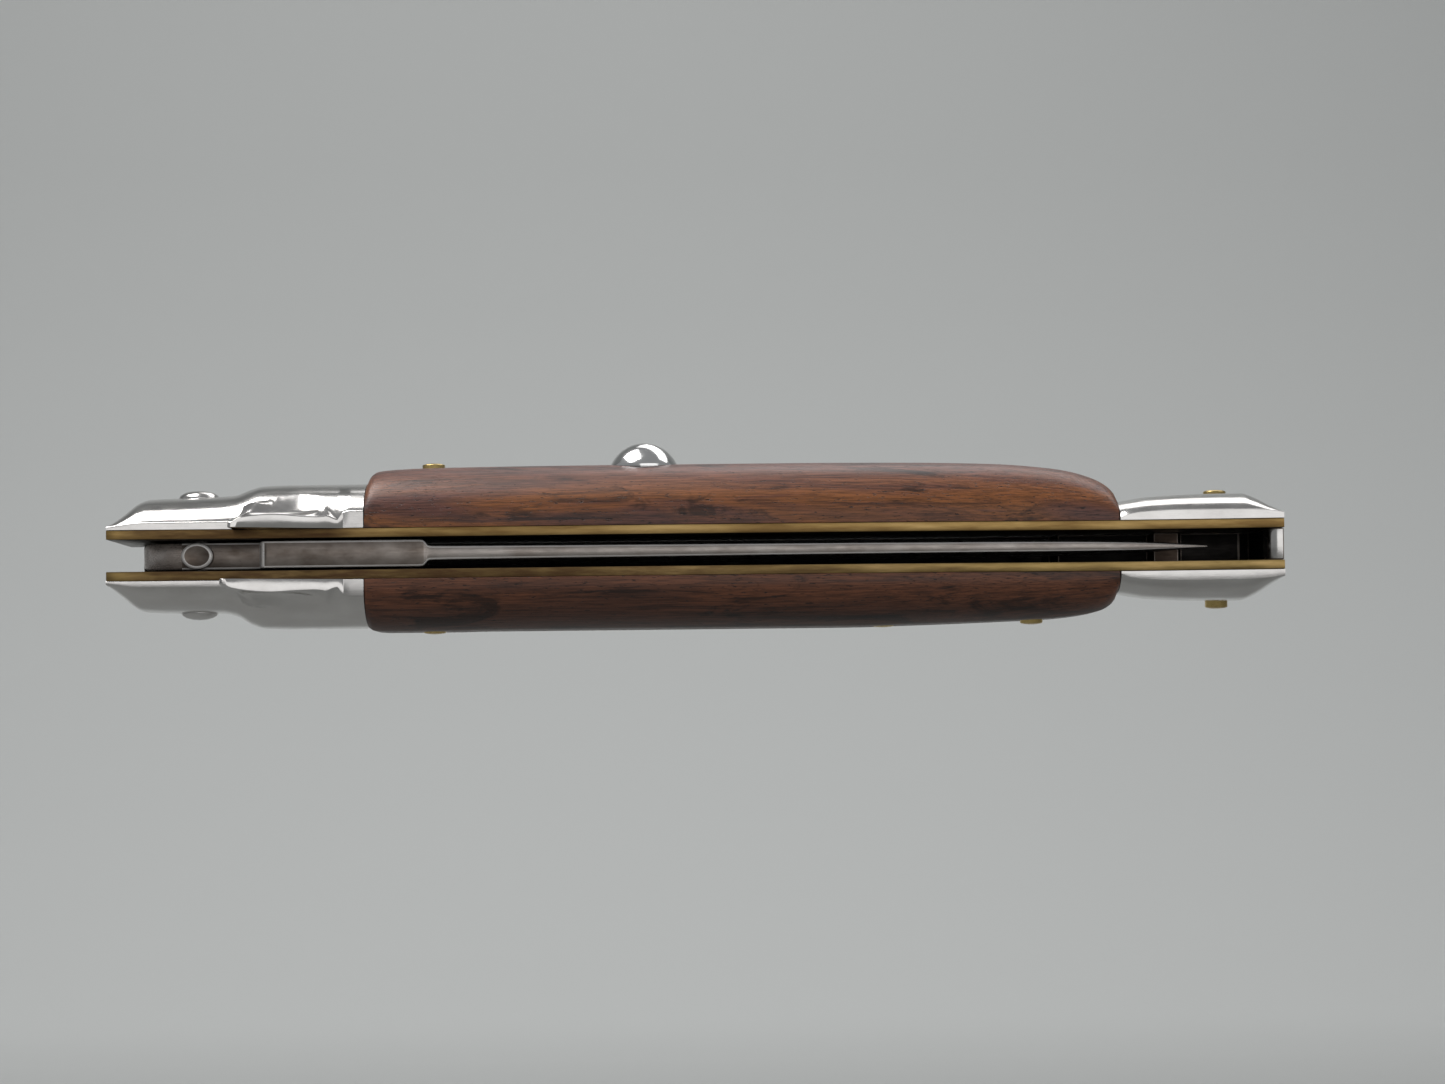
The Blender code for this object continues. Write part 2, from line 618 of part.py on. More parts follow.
def make_pins():
    for name, side, x, head in SCALE_PINS:
        inner = LINER_IN + 0.05
        profile = domed_pin(inner, head, SCALE_PIN_R, 0.2)
        bm = turned(profile, 16)
        if side < 0:
            bmesh.ops.rotate(bm, cent=(0, 0, 0), matrix=Matrix.Rotation(math.pi, 3, "X"),
                             verts=bm.verts)
        add_part(name, bm, "brass", (x, 0, MID_Z), 30)
    rear = turned(domed_pin(-REAR_PIN_TOP, REAR_PIN_TOP, SCALE_PIN_R, 0.3), 16)
    add_part("rear_bolster_pin", rear, "brass", (*REAR_PIN, MID_Z), 30)
    rivet = turned(domed_pin(-LINER_OUT, LINER_OUT, 0.8, 0.1), 12)
    add_part("back_spring_rivet", rivet, "steel", (*ROOT_RIVET, MID_Z), 30)
    for name, side in (("bolster_rivet_upper", 1), ("bolster_rivet_lower", -1)):
        bm = turned(domed_pin(LINER_IN + 0.05, 5.5, 1.0, 0.15), 12)
        if side < 0:
            bmesh.ops.rotate(bm, cent=(0, 0, 0), matrix=Matrix.Rotation(math.pi, 3, "X"),
                             verts=bm.verts)
        add_part(name, bm, "steel", (BOLSTER_RIVET_X, 0, MID_Z), 30)


def add_axis(name, place):
    """An empty on a joint's axis, which the pieces that turn there hang from."""
    axis = bpy.data.objects.new(name, None)
    axis.location = Vector(place) * MM
    axis.empty_display_size = 0.01
    parts.objects.link(axis)
    return axis


clear_scene()
parts = new_collection(ASSEMBLY)
cutters = new_collection("cutters")
blade_axis = add_axis("blade_axis", (PIVOT_X, 0, MID_Z))
sear_axis = add_axis("sear_axis", (SEAR_PIVOT[0], 0, MID_Z + SEAR_PIVOT[1]))
lock_axis = add_axis("lock_spring_axis", (*ARM_HINGE, MID_Z))

for suffix, layer in (("upper", 1), ("lower", -1)):
    make_liner(f"liner_{suffix}", layer)
    front_bolster(f"front_bolster_{suffix}", layer)
    rear_bolster(f"rear_bolster_{suffix}", layer)
make_scales()
make_back_spring()
make_lock_spring_arm()
make_kick_spring()
make_blade()
make_lock_stud()
make_pivot_pin()
make_button()
make_sear_lever()
make_sear_saddle()
make_return_spring()
make_pins()
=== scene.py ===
"""The looks of a closed push-button folding knife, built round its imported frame."""
import bisect
import json
import math

import bmesh
import bpy
from mathutils import Matrix, Vector


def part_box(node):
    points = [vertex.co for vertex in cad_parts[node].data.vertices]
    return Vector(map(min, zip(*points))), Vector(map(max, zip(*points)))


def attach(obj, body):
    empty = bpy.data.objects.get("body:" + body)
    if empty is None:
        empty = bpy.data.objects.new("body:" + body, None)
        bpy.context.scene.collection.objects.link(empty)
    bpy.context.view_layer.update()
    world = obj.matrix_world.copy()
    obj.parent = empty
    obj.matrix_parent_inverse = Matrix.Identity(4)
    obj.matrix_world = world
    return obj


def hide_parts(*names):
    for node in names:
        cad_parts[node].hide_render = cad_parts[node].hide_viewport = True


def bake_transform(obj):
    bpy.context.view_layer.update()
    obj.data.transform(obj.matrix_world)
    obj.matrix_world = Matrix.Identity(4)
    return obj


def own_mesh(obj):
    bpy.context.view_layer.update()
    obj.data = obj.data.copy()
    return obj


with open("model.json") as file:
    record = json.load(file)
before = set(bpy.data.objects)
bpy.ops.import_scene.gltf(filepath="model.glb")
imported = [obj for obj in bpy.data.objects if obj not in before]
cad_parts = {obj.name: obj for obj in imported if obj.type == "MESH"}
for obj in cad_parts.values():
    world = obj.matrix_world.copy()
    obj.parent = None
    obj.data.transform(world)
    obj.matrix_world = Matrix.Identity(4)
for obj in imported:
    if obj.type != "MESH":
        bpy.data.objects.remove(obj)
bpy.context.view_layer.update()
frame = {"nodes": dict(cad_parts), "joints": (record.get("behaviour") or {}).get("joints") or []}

MM = 0.001


# ---------------------------------------------------------------- sizes, from the frame

def box_mm(node):
    """Lowest and highest corner of a CAD node, in millimetres."""
    return [[value / MM for value in corner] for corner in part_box(node)]


LINER_LOW, LINER_HIGH = box_mm("liner_upper")
LOWER_LINER_HIGH = box_mm("liner_lower")[1]
HANDLE_END = LINER_HIGH[0]
MID_Z = (LINER_LOW[2] + LOWER_LINER_HIGH[2]) / 2
LINER_IN = LINER_LOW[2] - MID_Z
LINER_OUT = LINER_HIGH[2] - MID_Z
BASE = LINER_OUT + 0.02
FRONT_JOINT = box_mm("front_bolster_upper")[1][0] + 0.1
REAR_JOINT = box_mm("rear_bolster_upper")[0][0] - 0.05
SCALE_FRONT, SCALE_REAR = box_mm("scale_upper")[0][0], box_mm("scale_upper")[1][0]
PIVOT = next(joint for joint in frame["joints"] if joint["name"] == "blade_pivot")
PIVOT_X = PIVOT["pos_m"][0] / MM
TANG_NOSE = PIVOT_X - box_mm("blade")[0][0]
TANG_R = 5.3
TIP_X = box_mm("blade")[1][0]
EAR_REACH = box_mm("front_bolster_upper")[1][1] - 0.02

# Half the handle's width along its length.
HALF_WIDTH = [(-64, 8.9), (-59, 8.7), (-54, 8.5), (-48, 8.3), (-36, 8.6), (-5, 9.2),
              (20, 8.9), (36, 7.8), (46, 7.2), (55, 7.6), (64, 8.4)]

# Heights of the crowns above the handle's middle plane.
FRONT_CROWNS = {
    1: [(-64, 3.4), (-62.4, 5.0), (-61, 6.2), (-60, 6.5), (-55, 6.65), (-50.8, 6.85),
        (-49, 7.5), (-47.6, 7.85), (-44, 7.95), (-36, 7.95)],
    -1: [(-64, 3.4), (-62.4, 4.9), (-61.4, 5.7), (-60.8, 5.9), (-58, 6.05), (-52.5, 6.1),
         (-50.8, 6.45), (-48.9, 7.5), (-47.6, 7.85), (-44, 7.95), (-36, 7.95)],
}
REAR_CROWN = [(46.3, 5.05), (50, 5.6), (55, 5.85), (60, 5.9), (61.2, 5.5), (62.8, 4.5),
              (64, 3.7)]

# The wooden scales: their crowns, and where and how far before it their rear end rounds off.
UPPER_CROWN = [(-36, 8.1), (-35.6, 8.9), (-35, 9.3), (-33.5, 9.5), (-28, 9.7), (-10, 9.8),
               (10, 9.8), (24, 9.7), (33, 9.46), (38, 9.05), (41, 8.6), (43.4, 7.9),
               (45, 7.1), (45.9, 6.2), (46.2, 5.4)]
LOWER_CROWN = [(-36, 7.9), (-35.4, 8.3), (-34, 8.4), (-26, 8.4), (-24, 8.35), (16, 8.35),
               (24, 8.2), (33, 7.94), (39, 7.7), (42, 7.4), (44.3, 6.95), (45.4, 6.35),
               (46.0, 5.6), (46.2, 4.9)]
ROUND_END = 46.2
ROUND_LENGTH = 5.8

# The guard ear: its plan before it leans forward, its edge's thickness and its hollow.
EAR_PLAN = [(-48.9, 8.3), (-47.9, 9.6), (-46.6, 12.0), (-45.4, EAR_REACH), (-44.5, 12.8),
            (-42.4, 11.1), (-40.2, 9.5), (-38.4, 8.55)]
EAR_THICK = [(-48.9, 0.9), (-46.6, 0.8), (-45.4, 0.6), (-44.6, 1.1), (-42.6, 1.5),
             (-41, 1.2), (-39.6, 0.7), (-38.4, 0.4)]
EAR_LEANS = {1: 1.0, -1: 1.2}
EAR_ROOT = 2.9
FRONT_RIM = [(-64, 0.35), (-50, 0.35), (-48, 0.9), (-39, 0.9), (-37.6, 1.35), (-36, 1.35)]
DISH_CENTRE = (-43.0, 13.0)
DISH_HALVES = (7.2, 6.2)
DISH_FLOOR = 1.25
DISH_RISE = 2.0

# The back spring. Its outline at the butt runs from the end wall round the hollow in front of
# it, over the shoulder and back to the arm.
ROOT_HALF = 1.7
SPRING_THICK = 1.88
NOTCH_X, NOTCH_HALF, NOTCH_ROOF = -55.5, 2.15, 7.5
BUTT_OUTLINE = [(64.0, -7.85), (63.6, -7.9), (63.1, -7.85), (62.75, -7.65), (62.45, -7.3),
                (62.25, -6.7), (62.15, -5.0), (62.1, -2.0), (61.9, 0.0), (61.4, 1.4),
                (60.4, 2.2), (58.8, 2.4), (53.9, 2.4), (53.5, 0.9), (50.8, 0.9), (50.4, 3.7),
                (40.4, 3.7), (39.6, 5.3), (33.0, 5.6)]
END_WALL_X, END_WALL_Y = 62.2, -5.0
SHOULDER_FRONT, SHOULDER_REAR = 50.6, 53.6

# The blade.
SPINE = [(-55, -5.3), (-47.75, -5.3), (-47.35, -7.4), (-47.1, -8.0), (-46.6, -8.15),
         (-29.6, -8.15), (10, -8.1), (30, -7.5), (42, -6.4), (50, -4.9), (56.2, -3.3)]
EDGE = [(-55, 5.3), (-51.8, 5.0), (-48, 4.0), (-44, 3.8), (10, 3.8), (25, 3.2), (38, 1.7),
        (48, -0.6), (53, -2.1), (56.2, -3.1)]
SPINE_THICK = [(-30.2, 2.9), (-29.75, 2.82), (-29.4, 2.3), (-29.15, 1.7), (-28.8, 1.5),
               (-27.5, 1.45), (0, 1.25), (25, 1.1), (40, 1.0), (48, 0.8), (52, 0.5),
               (56.2, 0.12)]
MIDDLE_THICK = [(-30.2, 2.9), (-28.9, 2.35), (20, 2.2), (40, 1.8), (50, 1.1), (56.2, 0.15)]
EDGE_THICK = [(-40, 2.9), (-37, 1.6), (-32, 0.35), (56.2, 0.12)]
RICASSO_FRONT, RICASSO_REAR = -47.75, -29.6
STEP_REAR = -46.9
FLAT_FRONT = -47.2

# The button and the openings cut for it, for its lever and for the lever's pin.
BUTTON_DOME_R = 4.0
BUTTON_HOLE_R = 4.2
BUTTON_HOLE_FLOOR = MID_Z + 7.0
POCKET_SIZE = (33.5, 7.6, 9.0)
POCKET_CENTRE = (-18.25, 0, MID_Z + 3.1)
PIN_HOLE_R = 1.6
PIN_HOLE_FLOOR = MID_Z + 0.2
PIN_HOLE_TOP = MID_Z + 3

# Degrees between two faces above which their edge stays sharp: bolsters, scales, carved pieces.
SHARP_ANGLE = 38


def smooth_curve(points):
    """A function through the points that never overshoots them."""
    xs = [point[0] for point in points]
    ys = [point[1] for point in points]
    rises = [(ys[i + 1] - ys[i]) / (xs[i + 1] - xs[i]) for i in range(len(xs) - 1)]
    slopes = [rises[0]]
    for before, after in zip(rises, rises[1:]):
        turns = before * after <= 0
        slopes.append(0.0 if turns else 2 * before * after / (before + after))
    slopes.append(rises[-1])

    def value(x):
        x = min(max(x, xs[0]), xs[-1])
        i = min(bisect.bisect_right(xs, x), len(xs) - 1) - 1
        span = xs[i + 1] - xs[i]
        t = (x - xs[i]) / span
        start = ys[i] * (1 + 2 * t) + slopes[i] * span * t
        finish = ys[i + 1] * (3 - 2 * t) - slopes[i + 1] * span * (1 - t)
        return start * (1 - t) ** 2 + finish * t ** 2

    return value


half_width = smooth_curve(HALF_WIDTH)


def stations(start, end, count):
    return [start + (end - start) * i / (count - 1) for i in range(count)]


def smooth_step(low, high, x):
    t = min(max((x - low) / (high - low), 0.0), 1.0)
    return t * t * (3 - 2 * t)


def smooth_min(a, b, blend):
    gap = max(blend - abs(a - b), 0.0) / blend
    return min(a, b) - gap * gap * blend / 4


# ---------------------------------------------------------------- pieces

def round_edges(bm, width, angle=30):
    """Round a mesh's hard edges, in millimetres."""
    limit = math.radians(angle)
    hard = [edge for edge in bm.edges
            if len(edge.link_faces) == 2 and edge.calc_face_angle(0) > limit]
    bmesh.ops.bevel(bm, geom=hard, offset=width, offset_type="OFFSET", segments=2,
                    profile=0.6, affect="EDGES", clamp_overlap=True)


def add_piece(name, bm, materials, body, nodes, sharp=32, rounding=0.0):
    """A visible piece, given in millimetres, that stands for one or more CAD nodes."""
    bmesh.ops.remove_doubles(bm, verts=bm.verts, dist=1e-4)
    bmesh.ops.recalc_face_normals(bm, faces=bm.faces)
    if rounding:
        round_edges(bm, rounding)
    bmesh.ops.scale(bm, vec=(MM, MM, MM), verts=bm.verts)
    mesh = bpy.data.meshes.new(name)
    bm.to_mesh(mesh)
    bm.free()
    mesh.shade_smooth()
    mesh.set_sharp_from_angle(angle=math.radians(sharp))
    for material in materials if isinstance(materials, tuple) else (materials,):
        mesh.materials.append(material)
    piece = bpy.data.objects.new(name, mesh)
    bpy.context.scene.collection.objects.link(piece)
    if body:
        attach(piece, body)
    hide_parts(*((nodes,) if isinstance(nodes, str) else nodes))
    return piece


def loft(rings):
    bm = bmesh.new()
    loops = [[bm.verts.new(point) for point in ring] for ring in rings]
    count = len(rings[0])
    for near, far in zip(loops, loops[1:]):
        for i in range(count):
            j = (i + 1) % count
            bm.faces.new((near[i], near[j], far[j], far[i]))
    bm.faces.new(loops[0])
    bm.faces.new(reversed(loops[-1]))
    return bm


def turned(profile, segments=64):
    """A solid turned about Z from (radius, height) points."""
    bm = bmesh.new()
    line = [bm.verts.new((radius, 0, z)) for radius, z in profile]
    for above, below in zip(line, line[1:]):
        bm.edges.new((above, below))
    bmesh.ops.spin(bm, geom=bm.verts[:] + bm.edges[:], cent=(0, 0, 0), axis=(0, 0, 1),
                   angle=2 * math.pi, steps=segments)
    return bm


def move(bm, offset):
    bmesh.ops.translate(bm, vec=offset, verts=bm.verts)
    return bm


def turn(bm, angle, axis):
    bmesh.ops.rotate(bm, cent=(0, 0, 0), matrix=Matrix.Rotation(math.radians(angle), 3, axis),
                     verts=bm.verts)
    return bm


def round_cutter(node, radius, floor, top):
    """An upright cylinder between two heights, centred along X on a CAD node."""
    low, high = box_mm(node)
    bm = turned([(0, top), (radius, top), (radius, floor), (0, floor)])
    return move(bm, ((low[0] + high[0]) / 2, 0, 0))


def carve(piece, cutters):
    """Cut shapes out of a finished piece and leave a plain mesh."""
    for index, bm in enumerate(cutters):
        bmesh.ops.remove_doubles(bm, verts=bm.verts, dist=1e-4)
        bmesh.ops.recalc_face_normals(bm, faces=bm.faces)
        bmesh.ops.scale(bm, vec=(MM, MM, MM), verts=bm.verts)
        mesh = bpy.data.meshes.new(f"cutter_{index}")
        bm.to_mesh(mesh)
        bm.free()
        cutter = bpy.data.objects.new(f"cutter_{index}", mesh)
        bpy.context.scene.collection.objects.link(cutter)
        modifier = piece.modifiers.new("cut", "BOOLEAN")
        modifier.operation = "DIFFERENCE"
        modifier.solver = "EXACT"
        modifier.object = cutter
        bpy.context.view_layer.update()
        graph = bpy.context.evaluated_depsgraph_get()
        carved = bpy.data.meshes.new_from_object(piece.evaluated_get(graph))
        piece.modifiers.clear()
        piece.data = carved
        bpy.data.objects.remove(cutter)
    piece.data.shade_smooth()
    piece.data.set_sharp_from_angle(angle=math.radians(SHARP_ANGLE))


def side_shell(side, places, edge, outer, lean=None, corner=0.16):
    """One side piece: flat on its liner, with outer(x, y) as its outside height."""
    across = [math.sin(math.radians(a)) for a in range(-90, 91, 3)]
    rings = []
    for x in places:
        reach = edge(x)
        ring = [(-reach + 0.04, BASE), (-reach, BASE + 0.04)]
        body = []
        for v in across:
            y = v * (reach - corner)
            body.append((y, outer(x, y)))
        rim_h = body[0][1]
        arc = [(-reach + corner * (1 - math.sin(a)), rim_h - corner * (1 - math.cos(a)))
               for a in (math.radians(step) for step in (90, 67.5, 45, 22.5)) if corner]
        ring += arc + body + [(-y, h) for y, h in reversed(arc)]
        ring += [(reach, BASE + 0.04), (reach - 0.04, BASE)]
        points = []
        for y, h in ring:
            shift = lean(x, y) if lean else 0.0
            points.append((x - shift, y, MID_Z + side * h))
        rings.append(points)
    return loft(rings)


def domed(y, half, shoulder, crown, fullness, power=0.62, flat=1.0):
    """The height of a domed cross-section over y."""
    t = min(abs(y) / half, 1.0)
    return shoulder + max(crown - shoulder, 0.03) * min((1 - t ** fullness) ** power * flat, 1)


# ---------------------------------------------------------------- the bolsters

def front_bolster(side, name, material):
    """The bolster with its two guard ears, each hollowed into a dish on its outside."""
    crown = smooth_curve(FRONT_CROWNS[side])
    ear, ear_thick = smooth_curve(EAR_PLAN), smooth_curve(EAR_THICK)
    ear_front, ear_rear = EAR_PLAN[0][0], EAR_PLAN[-1][0]
    front_rim = smooth_curve(FRONT_RIM)

    def edge(x):
        return max(half_width(x), ear(x)) if ear_front < x < ear_rear else half_width(x)

    def outer(x, y):
        rim = front_rim(x)
        body = domed(y, half_width(x), BASE + rim, crown(x), 2.6)
        if not ear_front < x < ear_rear:
            return body
        inside = smooth_step(ear_front, ear_front + 0.9, x)
        inside *= 1 - smooth_step(ear_rear - 3.0, ear_rear, x)
        block = BASE + rim + (EAR_ROOT - rim) * inside
        out = math.hypot((x - DISH_CENTRE[0]) / DISH_HALVES[0],
                         (abs(y) - DISH_CENTRE[1]) / DISH_HALVES[1])
        near_rim = 1 - smooth_step(0.0, 2.5, edge(x) - abs(y))
        thick = DISH_FLOOR + (ear_thick(x) - DISH_FLOOR) * near_rim
        dish = BASE + thick + DISH_RISE * out ** 5
        return smooth_min(max(body, block), dish, 0.12)

    def lean(x, y):
        return EAR_LEANS[side] * max(abs(y) - half_width(x), 0.0)

    places = stations(-64, -60, 16) + stations(-59.6, -52.5, 14) + stations(-52.2, -49.1, 14)
    places += stations(-48.95, -47.4, 16) + stations(-47.2, -38.9, 45)
    places += stations(-38.8, -37.6, 12) + stations(-37.3, FRONT_JOINT, 4)
    bm = side_shell(side, places, edge, outer, lean)
    return add_piece(f"{name}_skin", bm, material, "handle", name,
                     SHARP_ANGLE)


def rear_bolster(side, name, material):
    crown = smooth_curve(REAR_CROWN)
    rim = smooth_curve([(46.3, 0.1), (47.2, 0.5), (49, 0.75), (53, 0.9), (62, 0.85), (64, 0.7)])

    def outer(x, y):
        return domed(y, half_width(x), BASE + rim(x), crown(x), 2.6)

    places = stations(REAR_JOINT, 50, 16) + stations(50.5, 60, 18) + stations(60.3, 64, 16)
    bm = side_shell(side, places, half_width, outer, corner=0.08)
    return add_piece(f"{name}_skin", bm, material, "handle", name,
                     SHARP_ANGLE)


# ---------------------------------------------------------------- the scales

def wooden_scale(side, name, crown_points, material, fullness, flat):
    crown = smooth_curve(crown_points)

    def outer(x, y):
        return domed(y, half_width(x), BASE + 0.6, crown(x), fullness, 0.5, flat)

    places = stations(SCALE_FRONT, -34.4, 14) + stations(-34, 40, 75)
    places += [ROUND_END - ROUND_LENGTH * math.cos(math.radians(a)) for a in range(3, 88, 3)]
    places.append(SCALE_REAR)
    bm = side_shell(side, places, half_width, outer, corner=0.0)
    return add_piece(f"{name}_skin", bm, material, "handle", name, SHARP_ANGLE)


# ---------------------------------------------------------------- flat pieces

def plate(outline, low_z, high_z):
    bm = bmesh.new()
    face = bm.faces.new([bm.verts.new((x, y, low_z)) for x, y in outline])
    raised = bmesh.ops.extrude_face_region(bm, geom=[face])["geom"]
    top = [item for item in raised if isinstance(item, bmesh.types.BMVert)]
    bmesh.ops.translate(bm, vec=(0, 0, high_z - low_z), verts=top)
    return bm


def liner(side, name, material):
    places = stations(-HANDLE_END, HANDLE_END, 120)
    outline = [(x, -half_width(x)) for x in places]
    outline += [(x, half_width(x)) for x in reversed(places)]
    near, far = MID_Z + side * LINER_IN, MID_Z + side * LINER_OUT
    bm = plate(outline, min(near, far), max(near, far))
    return add_piece(f"{name}_skin", bm, material, "handle", name, rounding=0.1)


def back_spring(outside, inside, bright, shoulder):
    """The back spring in one piece: its root, the end wall at the butt and the long arm."""
    front = box_mm("lock_spring_arm")[0][0]
    outline = [(x, half_width(x)) for x in stations(front, HANDLE_END, 110)]
    outline += BUTT_OUTLINE
    inner = [(x, half_width(x) - SPRING_THICK) for x in stations(30, front, 90)]
    notch_y = half_width(NOTCH_X) - SPRING_THICK
    notch = [(NOTCH_X + NOTCH_HALF + 0.2, notch_y), (NOTCH_X + NOTCH_HALF, NOTCH_ROOF),
             (NOTCH_X - NOTCH_HALF, NOTCH_ROOF), (NOTCH_X - NOTCH_HALF - 0.2, notch_y)]
    gap = NOTCH_HALF + 0.5
    outline += [point for point in inner if point[0] > NOTCH_X + gap] + notch
    outline += [point for point in inner if point[0] < NOTCH_X - gap]
    bm = plate(outline, MID_Z - ROOT_HALF, MID_Z + ROOT_HALF)
    # Painted light and shade: the end wall takes the bright polished steel, the shoulder the dim
    # steel and the faces in the hollow the near-black steel.
    in_painted_shade, on_lit_wall, on_shaded_shoulder = 1, 2, 3
    for face in bm.faces:
        middle = face.calc_center_median()
        if abs(face.normal.z) >= 0.5:
            continue
        if middle.x > END_WALL_X and middle.y < END_WALL_Y:
            face.material_index = on_lit_wall
        elif middle.y < half_width(middle.x) - 0.5:
            shoulder_face = SHOULDER_FRONT < middle.x < SHOULDER_REAR
            face.material_index = on_shaded_shoulder if shoulder_face else in_painted_shade
    piece = add_piece("back_spring_skin", bm, (outside, inside, bright, shoulder), None,
                      ("back_spring", "lock_spring_arm"), rounding=0.12)
    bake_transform(piece)
    return piece


# ---------------------------------------------------------------- the blade

def blade(material, bright, lit_nose_steel, tang_steel, flat_steel):
    """Tang, ricasso and blade in one loft, with painted highlights on its spine's corners."""
    spine, edge = smooth_curve(SPINE), smooth_curve(EDGE)
    spine_t, middle_t = smooth_curve(SPINE_THICK), smooth_curve(MIDDLE_THICK)
    edge_t = smooth_curve(EDGE_THICK)
    places = [PIVOT_X - TANG_NOSE * math.cos(math.radians(a)) for a in range(2, 90, 4)]
    places += stations(PIVOT_X, -47.9, 12) + stations(-47.75, -46.5, 14)
    places += stations(-46.2, -30.4, 20) + stations(-30.2, -28.6, 24)
    places += stations(-28.3, 48, 60) + stations(48.4, TIP_X, 24)
    rings = []
    for x in places:
        round_off = 0.0
        if x < PIVOT_X:
            y1 = TANG_R * (1 - ((PIVOT_X - x) / TANG_NOSE) ** 3) ** (1 / 3)
            y0 = -y1
            nose = max(0.0, (PIVOT_X - x) - TANG_NOSE + 1.0)
            round_off = 1.0 - math.sqrt(max(1.0 - min(nose, 1.0) ** 2, 0.0))
        else:
            y0, y1 = spine(x), edge(x)
        ts, tm, te = spine_t(x) / 2 - round_off, middle_t(x) / 2, edge_t(x) / 2
        tm, te = min(tm, tm - round_off), min(te, te - round_off)
        ridge = y0 + 0.42 * (y1 - y0)
        soft = min(0.2, ts * 0.25)
        ring = [(y0, ts - soft), (y0 + soft * 0.35, ts - soft * 0.35), (y0 + soft, ts),
                (ridge, tm), (y1, te)]
        ring += [(y, -t) for y, t in reversed(ring)]
        rings.append([(x, y, MID_Z + t) for y, t in ring])
    bm = loft(rings)
    bm.faces.ensure_lookup_table()
    per_ring = len(rings[0])
    spine_strip, edge_strip = per_ring - 1, 4
    corners = (0, 1, per_ring - 2, per_ring - 3)
    on_body, on_corner, on_nose, on_tang, on_flat = range(5)
    for index, face in enumerate(bm.faces[:(len(rings) - 1) * per_ring]):
        x = face.calc_center_median().x
        strip = index % per_ring
        step = RICASSO_FRONT < x < STEP_REAR and strip == spine_strip
        # Painted light: the tang's nose takes the brighter nose steel.
        plain = on_nose if x < PIVOT_X - 1.2 else on_tang if x < RICASSO_REAR else on_body
        if strip not in (edge_strip, spine_strip) and x > FLAT_FRONT:
            plain = on_flat
        # Painted highlight: the spine's corners and the ricasso's step take the near-white
        # highlight material.
        bright_face = (strip in corners or step) and plain != on_nose
        face.material_index = on_corner if bright_face else plain
    return add_piece("blade_skin", bm, (material, bright, lit_nose_steel, tang_steel, flat_steel),
                     "blade_group", "blade", 28)


def lock_stud(material, bright):
    low, high = box_mm("lock_stud")
    radius = (high[0] - low[0]) / 2
    top = -low[1]
    profile = [(0, top - 0.06), (radius - 0.5, top - 0.05), (radius - 0.42, top - 0.01),
               (radius - 0.32, top), (radius - 0.16, top - 0.05), (radius - 0.04, top - 0.18),
               (radius, top - 0.38), (radius - 0.02, TANG_R - 0.3), (0, TANG_R - 0.3)]
    bm = turned(profile)
    # Painted highlight: the rim round the stud's top takes the near-white highlight material.
    for face in bm.faces:
        middle = face.calc_center_median()
        on_rim = math.hypot(middle.x, middle.y) > radius - 0.45
        face.material_index = 1 if on_rim and middle.z > top - 0.2 else 0
    bmesh.ops.scale(bm, vec=(1, (high[2] - low[2]) / (2 * radius), 1), verts=bm.verts)
    turn(bm, 90, "X")
    move(bm, ((low[0] + high[0]) / 2, 0, MID_Z))
    return add_piece("lock_stud_skin", bm, (material, bright), "blade_group", "lock_stud")


def return_spring(material):
    """The coil under the lever's tail, a rigid copy on the handle that does not close up."""
    node = frame["nodes"]["sear_return_spring"]
    spring = bpy.data.objects.new("return_spring_skin", node.data.copy())
    spring.matrix_world = node.matrix_world.copy()
    spring.data.materials.clear()
    spring.data.materials.append(material)
    bpy.context.scene.collection.objects.link(spring)
    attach(spring, "handle")
    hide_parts("sear_return_spring")
    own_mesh(spring)


# ---------------------------------------------------------------- pins and button

def domed_pin(low, high, radius, rise):
    arc = [(radius * math.cos(a), rise * math.sin(a))
           for a in (math.radians(step * 11.25) for step in range(8))]
    upper = [(0, high)] + [(r, high - rise + up) for r, up in reversed(arc)]
    lower = [(r, low + rise - up) for r, up in arc] + [(0, low)]
    return upper + lower


def round_pin(name, material, rise):
    """A pin that stands upright where its CAD node stands."""
    low, high = box_mm(name)
    radius = (high[0] - low[0]) / 2
    centre = ((low[0] + high[0]) / 2, (low[1] + high[1]) / 2, 0)
    bm = move(turned(domed_pin(low[2], high[2], radius, rise), 48), centre)
    return add_piece(f"{name}_skin", bm, material, "handle", name, 40)


def pivot_pin(material):
    low, high = box_mm("pivot_pin")
    top = (high[2] - low[2]) / 2
    profile = [(0, top), (0.6, top - 0.02), (1.2, top - 0.09), (1.7, top - 0.25),
               (2.05, top - 0.48), (2.2, top - 0.7), (2.25, top - 0.85), (2.2, top - 1.0),
               (1.9, top - 1.15), (1.9, -top + 1.15), (2.0, -top + 1.0), (2.05, -top + 0.75),
               (1.9, -top + 0.5), (1.5, -top + 0.25), (0.8, -top + 0.06), (0, -top)]
    bm = move(turned(profile), (PIVOT_X, 0, (low[2] + high[2]) / 2))
    return add_piece("pivot_pin_skin", bm, material, "handle", "pivot_pin",
                     50)


def button(material):
    low, high = box_mm("button")
    base = (high[0] - low[0]) / 2
    centre = high[2] - BUTTON_DOME_R
    last = math.acos(base / BUTTON_DOME_R)
    angles = [math.pi / 2 + (last - math.pi / 2) * i / 28 for i in range(29)]
    profile = [(BUTTON_DOME_R * math.cos(a) if i else 0, centre + BUTTON_DOME_R * math.sin(a))
               for i, a in enumerate(angles)]
    foot = low[2]
    profile += [(base - 0.05, profile[-1][1] - 0.25), (base - 0.05, foot + 1.75),
                (2.0, foot + 1.75), (2.0, foot), (0, foot)]
    bm = move(turned(profile, 72), ((low[0] + high[0]) / 2, 0, 0))
    return add_piece("button_skin", bm, material, "sear", "button", 40)


# ---------------------------------------------------------------- materials

